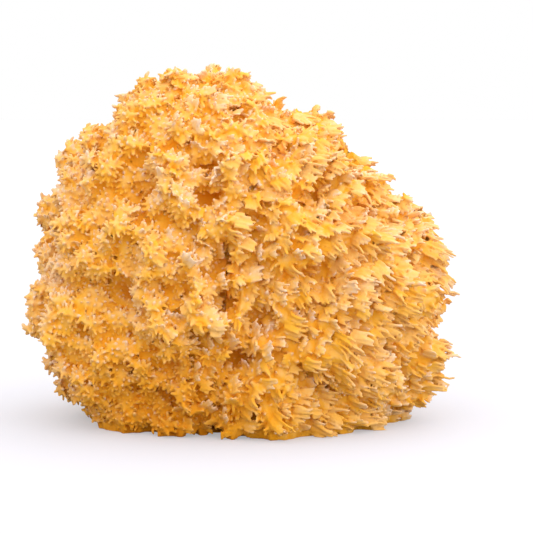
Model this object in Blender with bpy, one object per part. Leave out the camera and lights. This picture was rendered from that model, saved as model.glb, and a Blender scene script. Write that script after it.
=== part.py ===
"""A natural bath sponge, cut flat at its base and standing on the cut.

It is one grown mass of elastic fibre. Its skin swells into lobes and rises all over in knobbly
bunches, with creases between them, and it opens in pores. X runs to the right, Y runs away from
the front and Z runs up from the cut base, whose middle is the origin.
"""

import math

import bmesh
import bpy
import numpy as np
from mathutils import Vector, noise

MM = 0.001

# Driving sizes, in millimetres: the box of the finished mass, the knobs of its skin included.
WIDTH = 140.0
DEPTH = 110.0
HEIGHT = 116.0

# The outline. A reach runs from the heart, which the mass grows out from, to the tips of the bunches.
# In the front view it is given every 30 degrees, from +X up over the top and round under the base.
HEART_HEIGHT = 50.0
FRONT_REACH = (69, 60, 58, 67, 72, 69, 67, 71, 71, 68, 80, 75)
DEPTH_REACH = 56.0
FULLNESS = 2.45  # 2 is an ellipsoid, more is boxier

# The skin's web of triangles. A bunch is one point of it and the points around that, raised.
SKIN_CUTS = 21  # in each edge of the icosahedron that the web starts as
SKIN_JITTER = 0.24  # share of the web's spacing
BUNCH_HEIGHT = 5.5
KNOB_SPREAD = 0.8  # the lowest knob of a bunch is this share lower than the tallest
LEAST_LIFT = 0.4  # of a knob above the surface that the sponge stands on

# The bunches on the right are combed over, away from one place on the skin given as a way from the heart.
COMB_LEAN = 3.0
COMB_FROM = Vector((-12.0, -48.0, 24.0))
COMB_START = -0.05  # share of the reach, to the right of the heart, where the combing sets in
COMB_FULL = 0.35  # and where it is full

# Swellings and the creases that part the lobes.
SWELL_SIZE = 30.0
SWELL_HEIGHT = 4.0
LOBE_SIZE = 24.0
CREASE_DEPTH = 5.0
CREASE_WIDTH = 0.2  # share of the lobe's size
BARE_DEPTH = 4.5  # no bunch grows where a crease or a pore is deeper than this

# Pores that show in front: how far right of the middle and above the base, radius and depth.
FRONT_PORES = (
    (-42, 45, 6.0, 13),
    (-35, 85, 6.5, 10),
    (-31, 95, 4.5, 7),
    (2, 21, 4.5, 12),
    (15, 99, 5.5, 8),
    (-7, 106, 4.5, 6),
    (-9, 93, 4.5, 9),
    (-9, 83, 4.5, 9),
    (-6, 57, 5.0, 8),
    (-4, 63, 4.0, 6),
    (9, 37, 5.5, 9),
    (-3, 45, 4.5, 8),
    (-50, 33, 4.0, 7),
    (49, 49, 5.0, 10),
    (42, 38, 4.0, 7),
    (-22, 18, 4.5, 10),
    (-23, 7, 5.5, 7),
    (7, 86, 4.5, 7),
    (-55, 78, 5.0, 7),
    (27, 82, 4.5, 8),
    (-44, 72, 5.0, 7),
    (-36, 55, 4.0, 7),
    (-16, 67, 4.0, 7),
    (24, 20, 4.0, 8),
    (-63, 58, 5.5, 6),
)

# Pores all over the rest, each a little different.
PORE_COUNT = 46
PORE_RADIUS = (4.0, 6.0)
PORE_DEPTH = (7.0, 12.0)
PORE_CLEAR = 0.30  # the least angle between two of them, in radians
PORE_LOWEST = 10.0  # height above the base
PORE_LIP = 1.6  # a pore's funnel is this many times as wide as its throat

HEART = Vector((0.0, 0.0, HEART_HEIGHT))


def clear_scene():
    for old in list(bpy.data.objects):
        bpy.data.objects.remove(old, do_unlink=True)


def front_reach(angle):
    """How far the outline lies from the heart at an angle of the front view, on a smooth closed curve."""
    step = angle / (2 * math.pi) * len(FRONT_REACH)
    first = math.floor(step)
    t = step - first
    a, b, c, d = (FRONT_REACH[(first + i) % len(FRONT_REACH)] for i in (-1, 0, 1, 2))
    return b + 0.5 * t * (c - a + t * (2 * a - 5 * b + 4 * c - d + t * (3 * (b - c) + d - a)))


def tip_reach(way):
    """How far the tips of the bunches lie from the heart, along a unit vector."""
    across = math.hypot(way.x, way.z) / front_reach(math.atan2(way.z, way.x) % (2 * math.pi))
    deep = abs(way.y) / DEPTH_REACH
    return (across**FULLNESS + deep**FULLNESS) ** (-1 / FULLNESS)


def way_to_front(right, up):
    """The unit vector from the heart to the point of the front that shows at this place."""
    across = math.hypot(right, up - HEART_HEIGHT)
    reach = front_reach(math.atan2(up - HEART_HEIGHT, right) % (2 * math.pi))
    share = min(across / reach, 0.999)
    deep = DEPTH_REACH * (1 - share**FULLNESS) ** (1 / FULLNESS)
    return Vector((right, -deep, up - HEART_HEIGHT)).normalized()


def grown_pores(random):
    """Every pore as (way, radius, depth): those in front, and others spread over the rest of the skin."""
    pores = [(way_to_front(right, up), radius, depth) for right, up, radius, depth in FRONT_PORES]
    named = len(pores)
    while len(pores) < named + PORE_COUNT:
        way = Vector(random.normal(size=3)).normalized()
        radius = random.uniform(*PORE_RADIUS)
        depth = random.uniform(*PORE_DEPTH)
        height = HEART_HEIGHT + way.z * tip_reach(way)
        if height > PORE_LOWEST and all(way.angle(other) > PORE_CLEAR for other, _, _ in pores):
            pores.append((way, radius, depth))
    return pores


def pore_depth(way, reach, pores):
    """How deep the pores sink the skin at this place: a funnel with a rounded lip."""
    deepest = 0.0
    for middle, radius, depth in pores:
        away = way.angle(middle) * reach / (radius * PORE_LIP)
        if away < 1:
            deepest = max(deepest, depth * (1 - away**2) ** 1.5)
    return deepest


def crease_depth(place):
    """How deep the skin sinks in the creases, which run where two lobes meet."""
    distances, _ = noise.voronoi(place / LOBE_SIZE)
    parting = distances[1] - distances[0]
    return CREASE_DEPTH * math.exp(-((parting / CREASE_WIDTH) ** 2))


def skin_web():
    """A closed web of even triangles round the heart, as unit vectors and the faces on them."""
    web = bmesh.new()
    bmesh.ops.create_icosphere(web, subdivisions=1, radius=1.0)
    bmesh.ops.subdivide_edges(web, edges=web.edges[:], cuts=SKIN_CUTS, use_grid_fill=True)
    bmesh.ops.triangulate(web, faces=web.faces[:])
    return web


def jittered(web, random):
    """The web's ways out from the heart, each moved a little sideways."""
    spacing = math.sqrt(4 * math.pi / len(web.verts) * 2 / math.sqrt(3))
    ways = []
    for point in web.verts:
        shift = Vector(random.uniform(-1, 1, 3)) * spacing * SKIN_JITTER
        ways.append((point.co.normalized() + shift).normalized())
    return ways


def neighbours(point):
    return [edge.other_vert(point) for edge in point.link_edges]


def knob_heights(web, is_free, random):
    """How far each point is raised: by bunches set at random, each parted from the next by a crease."""
    heights = [0.0] * len(web.verts)
    taken = set()
    for index in random.permutation(len(web.verts)):
        middle = web.verts[int(index)]
        ring = neighbours(middle)
        if not is_free[middle.index] or middle.index in taken or taken.intersection(p.index for p in ring):
            continue
        for knob in (middle, *ring):
            taken.add(knob.index)
            if is_free[knob.index]:
                heights[knob.index] = BUNCH_HEIGHT * (1 - KNOB_SPREAD * random.uniform())
        heights[middle.index] = BUNCH_HEIGHT
    return heights


def comb_shift(way):
    """The sideways lean of a bunch's tip: none on the left, and away from COMB_FROM on the right."""
    source = COMB_FROM.normalized()
    along = (way - source) - way * way.dot(way - source)
    strength = min(max((way.x - COMB_START) / (COMB_FULL - COMB_START), 0.0), 1.0)
    return along.normalized() * COMB_LEAN * strength


def grow(web, random):
    """Moves every point of the web to its place on the skin, in millimetres."""
    ways = jittered(web, random)
    web.verts.ensure_lookup_table()
    web.verts.index_update()
    pores = grown_pores(random)
    bare, is_free = [], []
    for way in ways:
        reach = tip_reach(way)
        place = way * reach
        swell = SWELL_HEIGHT * noise.noise(place / SWELL_SIZE)
        sunk = max(crease_depth(place), pore_depth(way, reach, pores))
        bare.append(reach + swell - sunk - BUNCH_HEIGHT)
        is_free.append(sunk < BARE_DEPTH and way.z * bare[-1] > LEAST_LIFT - HEART_HEIGHT)
    heights = knob_heights(web, is_free, random)
    for point, way, reach, height in zip(web.verts, ways, bare, heights):
        if height > 0:
            point.co = HEART + way * (reach + height) + comb_shift(way) * height / BUNCH_HEIGHT
            point.co.z = max(point.co.z, LEAST_LIFT)
        elif HEART_HEIGHT + way.z * reach > 0:
            point.co = HEART + way * reach
        else:
            point.co = HEART + way * (HEART_HEIGHT / -way.z)
            point.co.z = 0.0


def fitted(web):
    """Brings the mass to its driving sizes, in metres, with the middle of its box over the origin."""
    places = np.array([point.co for point in web.verts])
    lowest, highest = places.min(axis=0), places.max(axis=0)
    middle = (lowest + highest) / 2
    middle[2] = 0.0
    scale = np.array((WIDTH, DEPTH, HEIGHT)) / (highest - lowest) * MM
    for point, place in zip(web.verts, places):
        point.co = (place - middle) * scale


def sponge_fibre():
    """Washed and bleached sponge fibre: matt, warm yellow."""
    material = bpy.data.materials.new("sponge_fibre")
    material.use_nodes = True
    shader = material.node_tree.nodes["Principled BSDF"]
    shader.inputs["Base Color"].default_value = (0.83, 0.39, 0.067, 1.0)
    shader.inputs["Roughness"].default_value = 0.85
    shader.inputs["Metallic"].default_value = 0.0
    return material


def make_sponge():
    random = np.random.default_rng(7)
    web = skin_web()
    grow(web, random)
    fitted(web)
    bmesh.ops.recalc_face_normals(web, faces=web.faces[:])
    mesh = bpy.data.meshes.new("sponge")
    web.to_mesh(mesh)
    web.free()
    mesh.shade_smooth()
    mesh.set_sharp_from_angle(angle=math.radians(50))
    mesh.materials.append(sponge_fibre())
    sponge = bpy.data.objects.new("sponge", mesh)
    bpy.context.scene.collection.objects.link(sponge)
    return sponge


clear_scene()
make_sponge()
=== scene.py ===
import math

import bpy
import numpy as np
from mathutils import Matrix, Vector, kdtree, noise


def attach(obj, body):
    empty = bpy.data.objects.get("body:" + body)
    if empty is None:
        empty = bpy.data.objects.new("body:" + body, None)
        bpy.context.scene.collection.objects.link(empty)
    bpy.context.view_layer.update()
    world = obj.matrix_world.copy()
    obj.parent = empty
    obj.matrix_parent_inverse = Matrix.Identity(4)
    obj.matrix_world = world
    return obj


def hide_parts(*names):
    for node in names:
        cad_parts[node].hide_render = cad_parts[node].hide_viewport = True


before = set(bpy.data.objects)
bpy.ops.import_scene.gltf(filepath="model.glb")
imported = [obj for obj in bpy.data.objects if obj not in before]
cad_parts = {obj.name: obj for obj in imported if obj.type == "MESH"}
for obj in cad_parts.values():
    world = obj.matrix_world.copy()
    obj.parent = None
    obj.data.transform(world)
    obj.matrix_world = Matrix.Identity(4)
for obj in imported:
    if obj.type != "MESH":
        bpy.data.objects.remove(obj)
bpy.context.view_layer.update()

MM = 0.001


# The mass of the sponge.
# It grew as one body of elastic fibre, whose skin swells into lobes and small tufts, with creases and
# pores between them. It was cut off its holdfast, and the flat cut shows the mouths of its canals.

COARSE_MESH = 1.2 * MM
COARSE_SMOOTHING = 8
BODY_MESH = 0.85 * MM
BODY_SMOOTHING = 4
PUFF = 0.8 * MM  # the bunches of the skin are blown up by this, which closes the creases between them
OUTWARD_SMOOTHING = 30  # rounds that leave only the way the mass as a whole faces
HEIGHT_SMOOTHING = 150  # rounds that leave the mass without its pores, to measure their depth from
CARRIED_SMOOTHING = 3  # rounds for what the fine mesh takes over from the coarse one
SKIN_SMOOTHING = 1
HALF_WAY = 0.5  # each round of smoothing moves a point half way to the mean of its neighbours
WELD = 0.01 * MM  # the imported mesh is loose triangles, joined where their corners meet
RIGHT_FROM = -10  # mm from the middle, where the skin begins to change towards that of the right
RIGHT_OVER = 30  # mm, after which it has changed
LOBE_SPACING = (7.6 * MM, 5.0 * MM)  # on the left, on the right
LOBE_VARIATION = 0.5
LOBE_VARIES_OVER = 13 * MM
LOBE_HEIGHT = 2.8 * MM
LOBE_GROOVE = 0.3  # width of the groove between two lobes, as a share of their spacing
LOBE_DOME = 0.8  # radius of the dome of a lobe, as a share of the spacing
LOBE_SHARES = (0.6, 0.4)  # how much of a lobe's rise is its steep edge, and how much its dome
LOBE_LEVEL = 0.7  # the rise that lies level with the inset
LOBE_FLATTER = 0.5  # share of its height that a lobe lacks on the right
TUFT_SPACING = 3.2 * MM
TUFT_HEIGHT = 0.7 * MM
TUFT_GROOVE = 0.4
TUFT_LEVEL = 0.5
BODY_INSET = 1.7 * MM  # leaves room under the outline for the nubs that stand on the mass
CUT_HEIGHT = 1.6 * MM  # the skin lower than this that faces down is the cut
CUT_FACING = -0.6
CANAL_SPACING = 6.0 * MM
CANAL_RADIUS = (1.0 * MM, 2.6 * MM)
CANAL_DEPTH = 5.0 * MM
CANAL_STEEPNESS = 4  # power of the share of the radius by which its wall rises
CANAL_RAGGED = 0.6  # how far its rim wanders, as a share of the radius
CANAL_RAGGED_OVER = 2.2 * MM
# painted shade: a canal is darker the deeper it goes, fully so at this depth
CANAL_SHADE_OVER = 3 * MM
HOLLOW_FROM = 1.2  # mm below the skin, where painted shade begins to darken a hollow
HOLLOW_OVER = 3.5  # mm, after which it has all of it
HOLLOW_FADE = 0.3  # share of it that hollows lack on the right
FOOT_HEIGHT = 38 * MM  # painted shade darkens the foot too, most of all at the left of the middle
FOOT_MIDDLE = -14 * MM
FOOT_WIDTH = 40 * MM
FOOT_FULLNESS = 1.3
FOOT_SHADE_STRENGTH = 0.5
FOOT_FADE = 0.8
LIT_SIDE_FROM = np.array((0.4, -0.5, 0.77))  # the way that the side given painted light faces, near that of the softbox
PALE = {  # what each thing adds to how pale the skin is: painted sheen on the flanks, painted light on the side towards the softbox, painted shade in hollows, at the foot and in the grooves of lobes and tufts
    "skin": 0.02,
    "flank_sheen": 0.15,
    "left_flank_sheen": 0.2,
    "lobe": 0.25,
    "tuft": 0.15,
    "bleached": 0.2,
    "hollow": -0.3,
    "foot": -0.15,
}


def vertex_places(mesh):
    places = np.empty(len(mesh.vertices) * 3)
    mesh.vertices.foreach_get("co", places)
    return places.reshape(-1, 3)


def vertex_normals(mesh):
    normals = np.empty(len(mesh.vertices) * 3)
    mesh.vertex_normals.foreach_get("vector", normals)
    return normals.reshape(-1, 3)


def move_to(mesh, places):
    mesh.vertices.foreach_set("co", places.ravel())
    mesh.update()


def unit(vectors):
    return vectors / np.maximum(np.linalg.norm(vectors, axis=-1, keepdims=True), 1e-12)


def dots(a, b):
    return np.einsum("...j,...j->...", a, b)


def evened(mesh, values, rounds):
    """The values at the vertices, each mixed with its neighbours' mean a number of times."""
    edges = np.empty(len(mesh.edges) * 2, dtype=np.int64)
    mesh.edges.foreach_get("vertices", edges)
    a, b = edges.reshape(-1, 2).T
    ends = np.bincount(a, minlength=len(values)) + np.bincount(b, minlength=len(values))
    for _ in range(rounds):
        total = np.zeros_like(values)
        for column in range(values.shape[1]):
            total[:, column] = np.bincount(a, values[b, column], len(values))
            total[:, column] += np.bincount(b, values[a, column], len(values))
        values = HALF_WAY * values + HALF_WAY * total / ends[:, None]
    return values


def take_up(piece):
    """Makes a piece the only one selected, and active."""
    bpy.ops.object.select_all(action="DESELECT")
    piece.select_set(True)
    bpy.context.view_layer.objects.active = piece


def modify(piece, kind, **settings):
    """Adds a modifier to the active piece and applies it."""
    modifier = piece.modifiers.new(kind.lower(), kind)
    for name, value in settings.items():
        setattr(modifier, name, value)
    bpy.ops.object.modifier_apply(modifier=modifier.name)


def near_tree(places):
    tree = kdtree.KDTree(len(places))
    for index, place in enumerate(places):
        tree.insert(place, index)
    tree.balance()
    return tree


def spread_out(places, allowed, spacing, random):
    """Picks places in random order, none nearer to another than the spacing there."""
    tree = near_tree(places)
    free = allowed.copy()
    picked = []
    for index in random.permutation(np.flatnonzero(allowed)):
        if free[index]:
            picked.append(index)
            for _, near, _ in tree.find_range(places[index], spacing[index]):
                free[near] = False
    return np.array(picked)


def cells(places, spacing):
    """How far each place is from the nearest and the next of middles spread over them, in spacings."""
    chosen = spread_out(places, np.ones(len(places), bool), spacing, random)
    middles = near_tree(places[chosen])
    away = np.array([[found[2] for found in middles.find_n(place, 2)] for place in places])
    return (away / spacing[:, None]).T


def wander(places, size):
    """Smooth noise at each place, from about -1 to 1, that changes over the size."""
    return np.array([noise.noise(Vector(place / size)) for place in places])


def wander_ways(places, size, shift=(0, 0, 0)):
    """Smooth noise with a way of its own at each place."""
    return np.array([noise.noise_vector(Vector(place / size) + Vector(shift)) for place in places])


SEED = 3
random = np.random.default_rng(SEED)
noise.seed_set(SEED)  # unseeded, the ways of the noise would differ from run to run
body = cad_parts["sponge"].copy()
body.data = body.data.copy()
body.name = body.data.name = "sponge_body"
for key in list(body.keys()):
    del body[key]
body.parent = None
bpy.context.scene.collection.objects.link(body)
take_up(body)
bpy.ops.object.mode_set(mode="EDIT")
bpy.ops.mesh.select_all(action="SELECT")
bpy.ops.mesh.remove_doubles(threshold=WELD)
bpy.ops.object.mode_set(mode="OBJECT")

# The skin is rounded first on a coarse mesh, which also tells how deep the pores are.
modify(body, "REMESH", mode="VOXEL", voxel_size=COARSE_MESH)
modify(body, "SMOOTH", factor=HALF_WAY, iterations=COARSE_SMOOTHING)
coarse = vertex_places(body.data) + vertex_normals(body.data) * PUFF
move_to(body.data, coarse)
coarse_outward = unit(evened(body.data, vertex_normals(body.data), OUTWARD_SMOOTHING))
coarse_relaxed = evened(body.data, coarse.copy(), HEIGHT_SMOOTHING)
coarse_height = dots(coarse - coarse_relaxed, coarse_outward) / MM
coarse_tree = near_tree(coarse)
modify(body, "REMESH", mode="VOXEL", voxel_size=BODY_MESH)
modify(body, "SMOOTH", factor=HALF_WAY, iterations=BODY_SMOOTHING)

# Lobes and tufts: the skin stands proud in the middle of each cell, and sinks between two.
places = vertex_places(body.data)
normals = vertex_normals(body.data)
nearest = np.array([coarse_tree.find(place)[1] for place in places])
carried = np.column_stack((coarse_outward[nearest], coarse_height[nearest]))
carried = evened(body.data, carried, CARRIED_SMOOTHING)
outward = unit(carried[:, :3])
height = carried[:, 3]
cut = (places[:, 2] < CUT_HEIGHT) & (normals[:, 2] < CUT_FACING)
right = np.clip((places[:, 0] / MM - RIGHT_FROM) / RIGHT_OVER, 0, 1)
lobe_spacing = LOBE_SPACING[0] + (LOBE_SPACING[1] - LOBE_SPACING[0]) * right
lobe_spacing = lobe_spacing * (1 + LOBE_VARIATION * wander(places, LOBE_VARIES_OVER))
nearest_away, next_away = cells(places, lobe_spacing)
lobe_rise = LOBE_SHARES[0] * (1 - np.exp(-(((next_away - nearest_away) / LOBE_GROOVE) ** 2)))
lobe_rise += LOBE_SHARES[1] * (1 - np.minimum(nearest_away / LOBE_DOME, 1) ** 2)
nearest_away, next_away = cells(places, np.full(len(places), TUFT_SPACING))
tuft_rise = 1 - np.exp(-(((next_away - nearest_away) / TUFT_GROOVE) ** 2))
lobe_inset = LOBE_HEIGHT * (1 - LOBE_FLATTER * right) * (LOBE_LEVEL - lobe_rise)
tuft_inset = TUFT_HEIGHT * (1 - right) * (TUFT_LEVEL - tuft_rise)
inset = BODY_INSET + lobe_inset + tuft_inset
places -= normals * inset[:, None]
places[cut, 2] = 0.0
places[:, 2] = np.maximum(places[:, 2], 0.0)

# The canals open in the cut as ragged holes of many sizes.
canals = spread_out(places, cut & (places[:, 2] == 0), np.full(len(places), CANAL_SPACING), random)
canal_radius = random.uniform(*CANAL_RADIUS, len(canals))
canal_tree = near_tree(places[canals])
for index in np.flatnonzero(cut):
    _, canal, away = canal_tree.find(places[index])
    ragged = 1 + CANAL_RAGGED * noise.noise(Vector(places[index] / CANAL_RAGGED_OVER))
    share = away / canal_radius[canal] * ragged
    if share < 1:
        places[index, 2] += CANAL_DEPTH * (1 - share**CANAL_STEEPNESS)
move_to(body.data, places)
modify(body, "SMOOTH", factor=HALF_WAY, iterations=SKIN_SMOOTHING)

# Where the colour changes: painted shade darkens the hollows, canals, foot and the grooves between lobes
# and tufts; painted light pales the crowns and the side towards the softbox, and painted sheen the flanks.
places = vertex_places(body.data)
normals = vertex_normals(body.data)
# painted shade: a hollow is darker the deeper it lies below the smoothed mass
sunk_here = np.clip((-height - HOLLOW_FROM) / HOLLOW_OVER, 0, 1)
# painted shade: the canals in the cut are darker the deeper they go
sunk_here[cut] = np.clip(places[cut, 2] / CANAL_SHADE_OVER, 0, 1)
# painted shade: the foot is darker, most of all left of the middle and least on the right
foot_shade = np.clip(1 - places[:, 2] / FOOT_HEIGHT, 0, 1)
foot_shade *= np.clip(FOOT_FULLNESS - np.abs(places[:, 0] - FOOT_MIDDLE) / FOOT_WIDTH, 0, 1)
sunk_here = sunk_here * (1 - HOLLOW_FADE * right) + FOOT_SHADE_STRENGTH * foot_shade * (1 - FOOT_FADE * right)
sunk_here = np.clip(sunk_here, 0, 1)
# painted sheen: the skin is paler where it faces sideways, most of all on the left
flank_sheen = outward[:, 0] ** 2
pale_here = PALE["skin"] + (PALE["flank_sheen"] + PALE["left_flank_sheen"] * (1 - right)) * flank_sheen
# painted shade: the grooves between lobes and tufts are darker, their crowns paler
pale_here += PALE["lobe"] * lobe_rise + PALE["tuft"] * tuft_rise
# painted light: the skin is paler where it faces the softbox
pale_here += PALE["bleached"] * np.clip(dots(normals, LIT_SIDE_FROM), 0, 1)
# painted shade: hollows and the foot are less pale
pale_here += PALE["hollow"] * sunk_here + PALE["foot"] * foot_shade
pale_here = np.clip(pale_here, 0, 1)


# The nubs.
# The skin of a wool sponge is covered in short blunt points, the ends of its fibre columns. They
# stand out from the lobes all over, close together on the left and thinner on the combed right.

NUB_SPACING = 1.3 * MM
NUB_LENGTH = 1.5 * MM
NUB_RADIUS = 0.5 * MM
NUB_RINGS = ((-0.15, 1.5, 1.5), (0.35, 1.15, 1.15), (0.8, 0.9, 0.9))  # share of length, width, depth
SHOOT_SIDES = 5
FLOOR_CLEAR = 0.1 * MM
NUB_THINNER = 0.9  # how much further apart nubs stand where they are combed
NUB_DEEPEST = -3.4  # mm, below which a pore is bare
NUB_LOWEST = 0.5 * MM
NUB_LEAST_RISE = 0.2  # no nub grows in the groove between two lobes
NUB_LEAN = {"lobe": 0.7, "own": 0.3, "scatter": 0.2, "comb": 1.2}
NUB_LENGTHS = (0.65, 1.2)  # each nub's own share of the length and of the radius
NUB_RADII = (0.8, 1.15)
NUB_EDGE = (0.75, 0.6)  # share of its length in the middle of a lobe, and what it gains at the edge
NUB_HOLLOW = (0.7, 0.3)  # share of its length in a hollow, and what it gains out of it
HOLLOW_DEEP = 3.0  # mm, at which a shoot has only its share for a hollow, and how far it is out of it
HOLLOW_OUT = 4
NUB_PALE = (0.4, 0.7)
NUB_PALER = {"facing_light": 0.35, "flank_sheen": 0.2, "foot": -0.25}  # what each adds at the tip: painted light towards the softbox, painted sheen on the flanks, painted shade at the foot
SHADE_FADE = 0.6  # share of the painted shade of a hollow that is gone at the tip of a shoot
START_LEAN = 0.3  # a shoot leaves the skin with this share of the lean that it ends with
WAVE_SIZE = 3.0 * MM  # a shoot is never straight: it follows waves of this size
WAVE_DEPTH = 0.7 * MM
COMB_TO = np.array((130, -20, -10)) * MM  # what is combed points at this place, far to the right
COMB_FROM = -5  # mm from the middle, where the combing begins, and how far that varies
COMB_SCATTER = 10
COMB_OVER = 30
COMB_BACK = 0.9  # the combing fades behind the flanks
COMB_SWIRL = 0.7
COMB_SWIRL_OVER = 11 * MM
OWN_LEAN_OVER = 8 * MM

scattered = COMB_SCATTER * random.normal(size=len(places))
strength = np.clip((places[:, 0] / MM - COMB_FROM + scattered) / COMB_OVER, 0, 1)
strength *= np.clip(COMB_BACK - normals[:, 1], 0, 1)


def lean_ways(chosen):
    """The way out of the skin; the ways combed, off the lobe's middle, at random and a shoot's own; and
    how flat it is combed."""
    normal = unit(normals[chosen] + outward[chosen])
    away = COMB_TO - places[chosen]
    across = away - normal * dots(away, normal)[:, None]
    flat = np.linalg.norm(across, axis=1) / np.linalg.norm(away, axis=1)
    comb = unit(unit(across) + wander_ways(places[chosen], COMB_SWIRL_OVER) * COMB_SWIRL)
    lobe = normals[chosen] - outward[chosen] * dots(normals[chosen], outward[chosen])[:, None]
    scatter = unit(random.normal(size=(len(chosen), 3)))
    scatter -= normal * dots(scatter, normal)[:, None]
    own = wander_ways(places[chosen], OWN_LEAN_OVER, (31, 7, 5))
    own -= normal * dots(own, normal)[:, None]
    return normal, comb, lobe, scatter, unit(own), flat


def out_of_hollow(chosen):
    """0 for vertices deep in a hollow, 1 for those out of it."""
    return np.clip((height[chosen] + HOLLOW_DEEP) / HOLLOW_OUT, 0, 1)


def set_values(piece, **values):
    """Gives each vertex its values, which the material reads by name."""
    for key, value in values.items():
        piece.data.attributes.new(key, "FLOAT", "POINT").data.foreach_set("value", value)


def grown(name, root, start, end, length, radius, rings, side_from, pale, sunk):
    """One mesh of closed shoots. Each leaves its root along start, bends to end, and tapers by the rings."""
    turns = np.arange(SHOOT_SIDES) * 2 * math.pi / SHOOT_SIDES
    levels = []
    for share, wide, deep in rings:
        middle = root + length[:, None] * (share * start + max(share, 0) ** 2 / 2 * (end - start))
        along = unit(start + max(share, 0) * (end - start))
        side = unit(np.cross(side_from, along))
        up = np.cross(along, side)
        ring = middle[:, None, :]
        ring = ring + (radius * wide)[:, None, None] * np.cos(turns)[None, :, None] * side[:, None, :]
        ring = ring + (radius * deep)[:, None, None] * np.sin(turns)[None, :, None] * up[:, None, :]
        levels.append(ring)
    foot = root + length[:, None] * rings[0][0] * start
    tip = root + length[:, None] * (start + (end - start) / 2)
    points = np.concatenate([foot[:, None, :]] + levels + [tip[:, None, :]], axis=1)
    waves = wander_ways(points.reshape(-1, 3), WAVE_SIZE)
    points += waves.reshape(points.shape) * WAVE_DEPTH
    points[..., 2] = np.maximum(points[..., 2], FLOOR_CLEAR)
    each = points.shape[1]
    last = 1 + (len(rings) - 1) * SHOOT_SIDES
    triangles = []
    for i in range(SHOOT_SIDES):
        j = (i + 1) % SHOOT_SIDES
        triangles.append((0, 1 + j, 1 + i))
        for a in range(1, last, SHOOT_SIDES):
            triangles.append((a + i, a + j, a + SHOOT_SIDES + j))
            triangles.append((a + i, a + SHOOT_SIDES + j, a + SHOOT_SIDES + i))
        triangles.append((last + i, last + j, each - 1))
    corners = (np.array(triangles)[None] + (np.arange(len(root)) * each)[:, None, None]).reshape(-1, 3)
    mesh = bpy.data.meshes.new(name)
    mesh.vertices.add(len(root) * each)
    mesh.vertices.foreach_set("co", points.ravel())
    mesh.loops.add(corners.size)
    mesh.loops.foreach_set("vertex_index", corners.ravel())
    mesh.polygons.add(len(corners))
    mesh.polygons.foreach_set("loop_start", np.arange(len(corners)) * 3)
    mesh.update(calc_edges=True)
    piece = bpy.data.objects.new(name, mesh)
    bpy.context.scene.collection.objects.link(piece)
    shares = [[0.0]] + [np.full(SHOOT_SIDES, max(share, 0)) for share, _, _ in rings] + [[1.0]]
    shares = np.concatenate(shares)[None, :]
    pale_foot, pale_tip = pale
    # a shoot runs from the paleness of the skin at its root to its own at the tip, and the painted shade it
    # takes from its root fades towards the tip
    set_values(
        piece,
        pale=(pale_foot[:, None] + (pale_tip - pale_foot)[:, None] * shares).ravel(),
        sunk=(sunk[:, None] * (1 - SHADE_FADE * shares)).ravel(),
    )
    return piece


allowed = (height > NUB_DEEPEST) & ~cut & (places[:, 2] > NUB_LOWEST) & (lobe_rise > NUB_LEAST_RISE)
nubs = spread_out(places, allowed, NUB_SPACING * (1 + NUB_THINNER * strength), random)
count = len(nubs)
pull = strength[nubs][:, None]
_, comb, lobe, scatter, own, _ = lean_ways(nubs)
normal = normals[nubs]
lean = lobe * NUB_LEAN["lobe"] + own * NUB_LEAN["own"] + scatter * NUB_LEAN["scatter"]
lean = lean * (1 - pull) + comb * NUB_LEAN["comb"] * pull
nub_start = unit(normal + lean * START_LEAN)
nub_end = unit(normal + lean)
nub_length = NUB_LENGTH * random.uniform(*NUB_LENGTHS, count)
nub_length *= NUB_EDGE[0] + NUB_EDGE[1] * np.linalg.norm(lobe, axis=1)
nub_length *= NUB_HOLLOW[0] + NUB_HOLLOW[1] * out_of_hollow(nubs)
nub_radius = NUB_RADIUS * random.uniform(*NUB_RADII, count)
# painted light: a nub that points towards the softbox is paler at its tip
facing_light = np.clip(dots(nub_end, LIT_SIDE_FROM), 0, 1)
nub_pale = random.uniform(*NUB_PALE, count) + NUB_PALER["facing_light"] * facing_light
nub_pale += NUB_PALER["flank_sheen"] * flank_sheen[nubs] + NUB_PALER["foot"] * foot_shade[nubs]


# The blades.
# On the right the fibre columns stand in rows, as flat tufts like the teeth of a comb, and they were
# combed over to the right when the sponge was dried. Each blade is a row of strands joined at the root.

STRAND_RINGS = ((-0.12, 1.3, 1.5), (0.35, 1.1, 1.2), (0.72, 0.9, 0.95), (0.93, 0.85, 0.85))
STRANDS_EACH = 6
STRAND_RADIUS = 0.47 * MM
STRAND_SPOT_JITTER = 0.1  # how far strands stand from their even places, in gaps
STRAND_OFFSET = 0.32 * MM  # how far strands stand out of the blade's plane
STRAND_JITTER = (0.02, 0.15)  # how far their ways wander, at the root and at the end
STRAND_FAN = (0.25, 1.0)  # share of the fan at the root and at the end
STRAND_LENGTHS = (0.7, 1.15)  # each strand's own share of the length and of the radius
STRAND_RADII = (0.85, 1.15)
STRAND_PALE = (0.4, 0.7)
# what each adds at the end of a strand: painted light towards the softbox, painted sheen on the flanks,
# painted shade at the foot
STRAND_PALER = {"facing_light": 0.4, "flank_sheen": 0.2, "foot": -0.2}
BLADE_TWIST = 0.4
BLADE_SPREAD = {"lobe": 1.5, "scatter": 0.35}  # how an uncombed blade leans
BLADE_DOME = 0.3  # the outer strands of a blade are shorter by this share
BLADE_HOLLOW = (0.6, 0.4)  # share of its length in a hollow, and what it gains out of it
BLADE_FLANK = (0.6, 0.4)  # share of its length on the flank, and what it gains in front
BLADE_END_ON = 0.7  # share of its length that a blade lacks where the skin faces the way it is combed
BLADE_GAP = (0.7, 0.3)  # share of the gap between its strands for any blade, and for its size
BLADE_DEEPEST = -2.5  # mm
BLADE_LOWEST = 2.5 * MM
BLADE_LEAST_COMBING = 0.2
BLADE_LEANS = (0.75, 1.2)  # each blade's own share of the lean and of the size
BLADE_SIZES = (0.7, 1.25)
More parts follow.
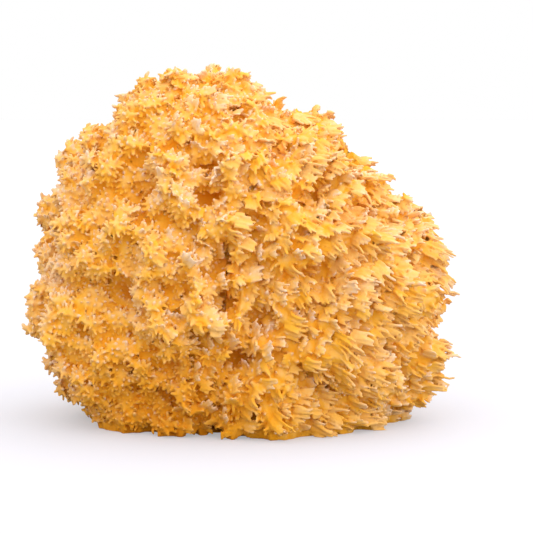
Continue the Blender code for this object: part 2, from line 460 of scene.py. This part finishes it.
LEFT = {"gap": 0.7, "length": 2.6, "lean": 0.9, "spacing": 4.6, "fan": 0.12}  # lengths in mm
RIGHT = {"gap": 0.85, "length": 7.6, "lean": 3.0, "spacing": 3.4, "fan": 0.09}


def between(key, pull):
    """The value on the left, on the right, or between the two."""
    return LEFT[key] + (RIGHT[key] - LEFT[key]) * pull


allowed = (height > BLADE_DEEPEST) & ~cut & (places[:, 2] > BLADE_LOWEST)
allowed &= strength > BLADE_LEAST_COMBING
blades = spread_out(places, allowed, between("spacing", strength) * MM, random)
count = len(blades)
pull = strength[blades]
normal, comb, lobe, scatter, _, flat = lean_ways(blades)
spread = lobe * BLADE_SPREAD["lobe"] + scatter * BLADE_SPREAD["scatter"]
combed = unit(comb * pull[:, None] + spread * (1 - pull[:, None]))
twist = random.normal(size=count) * BLADE_TWIST
wide_way = unit(np.cross(combed, normal) * np.cos(twist)[:, None] + normal * np.sin(twist)[:, None])
lean = between("lean", pull) * random.uniform(*BLADE_LEANS, count)
blade_start = unit(normal + combed * lean[:, None] * START_LEAN)
blade_end = unit(normal + combed * lean[:, None])
size = random.uniform(*BLADE_SIZES, count)
blade_length = between("length", pull) * MM * size
blade_length *= BLADE_HOLLOW[0] + BLADE_HOLLOW[1] * out_of_hollow(blades)
blade_length *= 1 - pull * (1 - flat) * BLADE_END_ON
blade_length *= BLADE_FLANK[0] + BLADE_FLANK[1] * np.abs(normals[blades][:, 1])

# The strands of a blade lie side by side and fan out to free ends.
spots = np.arange(STRANDS_EACH)[None, :] - (STRANDS_EACH - 1) / 2
spots = spots + random.normal(size=(count, STRANDS_EACH)) * STRAND_SPOT_JITTER
gap = between("gap", pull) * MM * (BLADE_GAP[0] + BLADE_GAP[1] * size)
strand_root = places[blades][:, None, :] + wide_way[:, None, :] * (spots * gap[:, None])[..., None]
strand_root += normal[:, None, :] * random.normal(size=(count, STRANDS_EACH))[..., None] * STRAND_OFFSET
jitter = random.normal(size=(count, STRANDS_EACH, 3))
fan = wide_way[:, None, :] * (spots * between("fan", pull)[:, None])[..., None]
strand_start = unit(blade_start[:, None, :] + fan * STRAND_FAN[0] + jitter * STRAND_JITTER[0])
strand_end = unit(blade_end[:, None, :] + fan * STRAND_FAN[1] + jitter * STRAND_JITTER[1])
dome = 1 - BLADE_DOME * (spots / (STRANDS_EACH / 2)) ** 2
strand_length = blade_length[:, None] * dome * random.uniform(*STRAND_LENGTHS, (count, STRANDS_EACH))
strand_radius = STRAND_RADIUS * random.uniform(*STRAND_RADII, (count, STRANDS_EACH))
# painted light: a strand that points towards the softbox is paler at its end
facing_light = np.clip(dots(strand_end, LIT_SIDE_FROM), 0, 1)
strand_pale = random.uniform(*STRAND_PALE, (count, STRANDS_EACH)) + STRAND_PALER["facing_light"] * facing_light
added = STRAND_PALER["flank_sheen"] * flank_sheen[blades] + STRAND_PALER["foot"] * foot_shade[blades]
strand_pale += added[:, None]


# The pieces of the sponge.
# The fibres have grown into each other everywhere, so the mass, nubs and blades are merged into one
# skin. It is made as six wedges, which run a little way into each other so that no join shows.

OVERLAP = 2.5 * MM
FAR = 200 * MM  # beyond the sponge on every side
BELOW = -10 * MM
PIECE_SMOOTHING = 2
FRONT_MESH = (0.4 * MM, 178000)  # size of the merged skin's mesh, and the most triangles left of it
BACK_MESH = (0.55 * MM, 128000)
WEDGES = (  # name, bearing from and to in degrees, mesh
    ("left", -180, -135, FRONT_MESH),
    ("front_left", -135, -90, FRONT_MESH),
    ("front_right", -90, -45, FRONT_MESH),
    ("right", -45, 0, FRONT_MESH),
    ("back_right", 0, 90, BACK_MESH),
    ("back_left", 90, 180, BACK_MESH),
)
FIBRE_STOPS = ((0.0, "#EFA412"), (0.35, "#EFAF3A"), (0.6, "#EEBA6A"), (0.8, "#EDC89C"), (1.0, "#EFD2B6"))
# the deep orange of the painted shade in hollows, canals and at the foot
HOLLOW_SHADE_COLOUR = "#C26A0A"
MOTTLE_SIZE = 2.5 * MM  # the fibres differ a little in colour from tuft to tuft
MOTTLE = 0.25
GRAIN_SIZE = 0.9 * MM  # fibres are 0.03 mm thick: too fine to show, so the grain of their bundles is drawn
GRAIN_DEPTH = 0.2 * MM
GRAIN_STRENGTH = 0.5


def linear(hex_colour):
    """An sRGB hex value as linear red, green, blue and alpha."""
    shares = [int(hex_colour[i : i + 2], 16) / 255 for i in (1, 3, 5)]
    return [c / 12.92 if c <= 0.04045 else ((c + 0.055) / 1.055) ** 2.4 for c in shares] + [1.0]


def add_node(material, kind, links=(), **settings):
    """Adds a node with its settings, and joins its inputs: (input, node, output)."""
    node = material.node_tree.nodes.new(kind)
    for name, value in settings.items():
        setattr(node, name, value)
    for socket, source, output in links:
        material.node_tree.links.new(source.outputs[output], node.inputs[socket])
    return node


# Spongin, a tough elastic protein, washed and bleached: matt and dry with a faint soft sheen. The skin
# is a warm yellow and the worn tips are cream. Painted shade turns the hollows, canals and foot a deep
# orange, and painted light and painted sheen make the side towards the softbox and the flanks paler.
fibre = bpy.data.materials.new("spongin_fibre")
fibre.use_nodes = True
shader = fibre.node_tree.nodes["Principled BSDF"]
shader.inputs["Roughness"].default_value = 0.8
shader.inputs["IOR"].default_value = 1.4
shader.inputs["Specular IOR Level"].default_value = 0.15
shader.inputs["Sheen Weight"].default_value = 0.05
shader.inputs["Sheen Roughness"].default_value = 0.5
shader.inputs["Sheen Tint"].default_value = (1, 0.95, 0.85, 1)
pale = add_node(fibre, "ShaderNodeAttribute", attribute_name="pale")
sunk = add_node(fibre, "ShaderNodeAttribute", attribute_name="sunk")
place = add_node(fibre, "ShaderNodeTexCoord")
cloud = add_node(fibre, "ShaderNodeTexNoise", [("Vector", place, "Object")])
cloud.inputs["Scale"].default_value = 1 / MOTTLE_SIZE
cloud.inputs["Detail"].default_value = 3
mottle = add_node(fibre, "ShaderNodeMath", [(0, cloud, "Fac"), (2, pale, "Fac")], operation="MULTIPLY_ADD")
mottle.inputs[1].default_value = MOTTLE
centred = add_node(fibre, "ShaderNodeMath", [(0, mottle, "Value")], operation="SUBTRACT")
centred.inputs[1].default_value = MOTTLE / 2
ramp = add_node(fibre, "ShaderNodeValToRGB", [("Fac", centred, "Value")])
for _ in FIBRE_STOPS[2:]:
    ramp.color_ramp.elements.new(1.0)
for stop, (share, colour) in zip(ramp.color_ramp.elements, FIBRE_STOPS):
    stop.position = share
    stop.color = linear(colour)
# painted shade: hollows, canals and the foot are mixed towards the deep orange
hollow = add_node(fibre, "ShaderNodeMix", [("A", ramp, "Color"), ("Factor", sunk, "Fac")], data_type="RGBA")
hollow.inputs["B"].default_value = linear(HOLLOW_SHADE_COLOUR)
fibre.node_tree.links.new(hollow.outputs["Result"], shader.inputs["Base Color"])
grain = add_node(fibre, "ShaderNodeTexNoise", [("Vector", place, "Object")])
grain.inputs["Scale"].default_value = 1 / GRAIN_SIZE
grain.inputs["Detail"].default_value = 1
bump = add_node(fibre, "ShaderNodeBump", [("Height", grain, "Fac")])
bump.inputs["Distance"].default_value = GRAIN_DEPTH
bump.inputs["Strength"].default_value = GRAIN_STRENGTH
fibre.node_tree.links.new(bump.outputs["Normal"], shader.inputs["Normal"])

body_tree = near_tree(places)


def within(chosen, first, last):
    """Which of these vertices lie in a wedge, by their bearing from the middle of the sponge."""
    bearing = np.degrees(np.arctan2(places[chosen, 1], places[chosen, 0]))
    return (bearing >= first) & (bearing < last) | (bearing == 180) & (first == -180)


def wedge_block(first, last):
    """A block that holds a wedge of the sponge and a little more, to cut the mass with."""
    middle = math.radians((first + last) / 2)
    half = math.radians((last - first) / 2)
    apex = -np.array((math.cos(middle), math.sin(middle))) * OVERLAP / math.sin(half)
    bearings = (math.radians(first), math.radians(last))
    rim = [apex + FAR * np.array((math.cos(bearing), math.sin(bearing))) for bearing in bearings]
    corners = [(*corner, level) for level in (BELOW, FAR) for corner in (apex, *rim)]
    mesh = bpy.data.meshes.new("wedge")
    mesh.from_pydata(corners, [], [(0, 2, 1), (3, 4, 5), (0, 1, 4, 3), (1, 2, 5, 4), (2, 0, 3, 5)])
    block = bpy.data.objects.new("wedge", mesh)
    bpy.context.scene.collection.objects.link(block)
    return block


for name, first, last, (voxel, most) in WEDGES:
    here = within(nubs, first, last)
    nub = grown(
        "nubs_" + name,
        places[nubs][here],
        nub_start[here],
        nub_end[here],
        nub_length[here],
        nub_radius[here],
        NUB_RINGS,
        unit(random.normal(size=(here.sum(), 3))),
        (pale_here[nubs][here], nub_pale[here]),
        sunk_here[nubs][here],
    )
    here = within(blades, first, last)
    many = here.sum() * STRANDS_EACH
    blade = grown(
        "blades_" + name,
        strand_root[here].reshape(many, 3),
        strand_start[here].reshape(many, 3),
        strand_end[here].reshape(many, 3),
        strand_length[here].ravel(),
        strand_radius[here].ravel(),
        STRAND_RINGS,
        unit(random.normal(size=(many, 3))),
        (np.repeat(pale_here[blades][here], STRANDS_EACH), strand_pale[here].ravel()),
        np.repeat(sunk_here[blades][here], STRANDS_EACH),
    )
    piece = body.copy()
    piece.data = body.data.copy()
    piece.name = piece.data.name = "sponge_" + name
    bpy.context.scene.collection.objects.link(piece)
    block = wedge_block(first, last)
    take_up(piece)
    modify(piece, "BOOLEAN", operation="INTERSECT", solver="MANIFOLD", object=block)
    bpy.data.objects.remove(block, do_unlink=True)
    below = np.array([body_tree.find(place)[1] for place in vertex_places(piece.data)])
    set_values(piece, pale=pale_here[below], sunk=sunk_here[below])
    nub.select_set(True)
    blade.select_set(True)
    bpy.ops.object.join()
    piece.data.remesh_voxel_size = voxel
    piece.data.use_remesh_preserve_attributes = True
    bpy.ops.object.voxel_remesh()
    modify(piece, "SMOOTH", factor=HALF_WAY, iterations=PIECE_SMOOTHING)
    triangles = sum(len(face.vertices) - 2 for face in piece.data.polygons)
    if triangles > most:
        modify(piece, "DECIMATE", ratio=most / triangles)
    finished = vertex_places(piece.data)
    finished[:, 2] = np.maximum(finished[:, 2], 0)
    move_to(piece.data, finished)
    bpy.ops.object.shade_smooth()
    piece.data.materials.clear()
    piece.data.materials.append(fibre)
    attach(piece, "root")
    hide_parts("sponge")
bpy.data.objects.remove(body, do_unlink=True)


# The floor.
# A sheet of white paper, lit so brightly that the camera sees it nearly as white as the wall behind.
# Matt paper shows a soft grey shadow under the sponge and no reflection.

FLOOR_SIZE = 6.0
PAPER_COLOUR = "#A6A8B4"
PAPER_GLOW = 0.37  # seen by the camera alone, so that it lights nothing

bpy.ops.mesh.primitive_plane_add(size=FLOOR_SIZE)
floor = bpy.context.object
floor.name = "studio_floor"
paper = bpy.data.materials.new("white_paper")
paper.use_nodes = True
shader = paper.node_tree.nodes["Principled BSDF"]
shader.inputs["Base Color"].default_value = linear(PAPER_COLOUR)
shader.inputs["Roughness"].default_value = 0.9
shader.inputs["Emission Color"].default_value = (1, 0.99, 1, 1)
seen = add_node(paper, "ShaderNodeLightPath")
glow = add_node(paper, "ShaderNodeMath", [(0, seen, "Is Camera Ray")], operation="MULTIPLY")
glow.inputs[1].default_value = PAPER_GLOW
paper.node_tree.links.new(glow.outputs["Value"], shader.inputs["Emission Strength"])
floor.data.materials.append(paper)


# The light.
# A white studio whose walls throw back slightly warm light, with one very large softbox above, in
# front and a little to the right.

STUDIO_COLOUR = (1, 0.96, 0.9, 1)
STUDIO_LIGHT = 1.1
SOFTBOX_LIGHT = 2.45
SOFTBOX_ANGLE = math.radians(120)
SOFTBOX_FROM = (0.6, -0.5, 1.15)

studio = bpy.data.worlds.new("studio")
bpy.context.scene.world = studio
studio.use_nodes = True
lighting = studio.node_tree.nodes["Background"]
lighting.inputs["Color"].default_value = STUDIO_COLOUR
lighting.inputs["Strength"].default_value = STUDIO_LIGHT
wall = add_node(studio, "ShaderNodeBackground")
wall.inputs["Color"].default_value = (1, 1, 1, 1)
seen = add_node(studio, "ShaderNodeLightPath")
either = add_node(
    studio,
    "ShaderNodeMixShader",
    [(0, seen, "Is Camera Ray"), (1, lighting, "Background"), (2, wall, "Background")],
)
studio.node_tree.links.new(either.outputs["Shader"], studio.node_tree.nodes["World Output"].inputs["Surface"])

bpy.ops.object.light_add(type="SUN", location=SOFTBOX_FROM)
softbox = bpy.context.object
softbox.name = "large_softbox"
softbox.data.energy = SOFTBOX_LIGHT
softbox.data.angle = SOFTBOX_ANGLE
softbox.rotation_euler = (-softbox.location).to_track_quat("-Z", "Y").to_euler()


# The camera.
# A long lens, a little above the level of the sponge's middle, and far enough away to flatten it.

CAMERA_LENS = 135.0
SENSOR_WIDTH = 36.0
CAMERA_RISE = math.radians(6)
FRAME_WIDTH = 173.7 * MM  # how much of the scene the picture spans at the sponge's middle
AIM = Vector((9.8 * MM, 0, 49.5 * MM))

back = Vector((0, -math.cos(CAMERA_RISE), math.sin(CAMERA_RISE)))
bpy.ops.object.camera_add(location=AIM + back * FRAME_WIDTH * CAMERA_LENS / SENSOR_WIDTH)
camera = bpy.context.object
camera.rotation_euler = (-back).to_track_quat("-Z", "Y").to_euler()
camera.data.lens = CAMERA_LENS
camera.data.sensor_width = SENSOR_WIDTH
bpy.context.scene.camera = camera
bpy.context.scene.view_settings.view_transform = "Standard"
